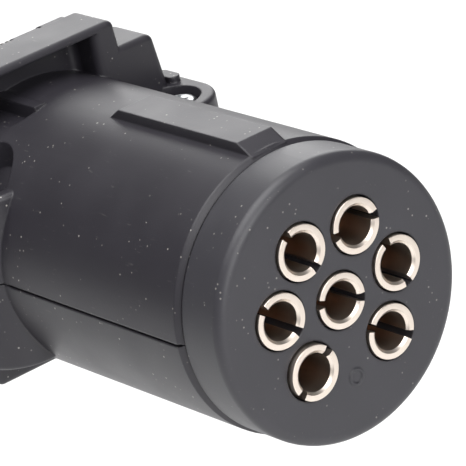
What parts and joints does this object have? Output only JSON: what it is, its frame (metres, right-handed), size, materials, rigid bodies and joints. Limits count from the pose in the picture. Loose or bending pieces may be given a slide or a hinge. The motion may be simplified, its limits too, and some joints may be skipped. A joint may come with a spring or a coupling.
{
  "type": "trailer wiring connector",
  "caption": "Keyed round trailer plug with split tube contacts in a two-part moulded housing that turns into a smaller pin socket with a sprung lid.",
  "frame": {"origin": "centre of the plug's contact face, on the axis of the centre contact", "axes": "+X out of the contact face along the plug's axis, +Z towards the plug's key"},
  "size_m": [0.0719, 0.044, 0.0444],
  "materials": {
    "housing_plastic": "moulded, fine matte",
    "insulator_plastic": "moulded, satin",
    "nickel_contact": "turned brass, bright nickel plate",
    "zinc_steel": "bright zinc",
    "spring_steel": "drawn wire",
    "seal_rubber": "smooth",
    "wire_yellow": "extruded insulation",
    "wire_black": "extruded insulation",
    "wire_white": "extruded insulation",
    "wire_green": "extruded insulation",
    "wire_blue": "extruded insulation",
    "wire_red": "extruded insulation",
    "wire_brown": "extruded insulation"
  },
  "bodies": {
    "housing": {"upper_shell": "housing_plastic", "lower_shell": "housing_plastic", "front_insulator": "insulator_plastic", "contact_retainer": "insulator_plastic", "rear_insulator": "insulator_plastic", "shell_screws": "zinc_steel", "hinge_pin": "zinc_steel", "lid_spring": "spring_steel", "female_contact_1": "nickel_contact", "female_contact_2": "nickel_contact", "female_contact_3": "nickel_contact", "female_contact_4": "nickel_contact", "female_contact_5": "nickel_contact", "female_contact_6": "nickel_contact", "female_contact_7": "nickel_contact", "male_pin_1": "nickel_contact", "male_pin_2": "nickel_contact", "male_pin_3": "nickel_contact", "male_pin_4": "nickel_contact", "male_pin_5": "nickel_contact", "male_pin_6": "nickel_contact", "male_pin_7": "nickel_contact", "jumper_wire_1": "wire_yellow", "jumper_wire_2": "wire_black", "jumper_wire_3": "wire_white", "jumper_wire_4": "wire_green", "jumper_wire_5": "wire_blue", "jumper_wire_6": "wire_red", "jumper_wire_7": "wire_brown"},
    "lid": {"lid": "housing_plastic", "lid_seal": "seal_rubber"}
  },
  "joints": [
    {"name": "lid_hinge", "type": "hinge", "parent": "housing", "child": "lid", "pos_m": [-0.0678, 0, 0.0205], "axis": [0, 1, 0], "range_deg": [0, 110], "stiffness_Nm_per_rad": 0.006, "springref_deg": -85.94, "deforming": ["lid_spring"]}
  ]
}
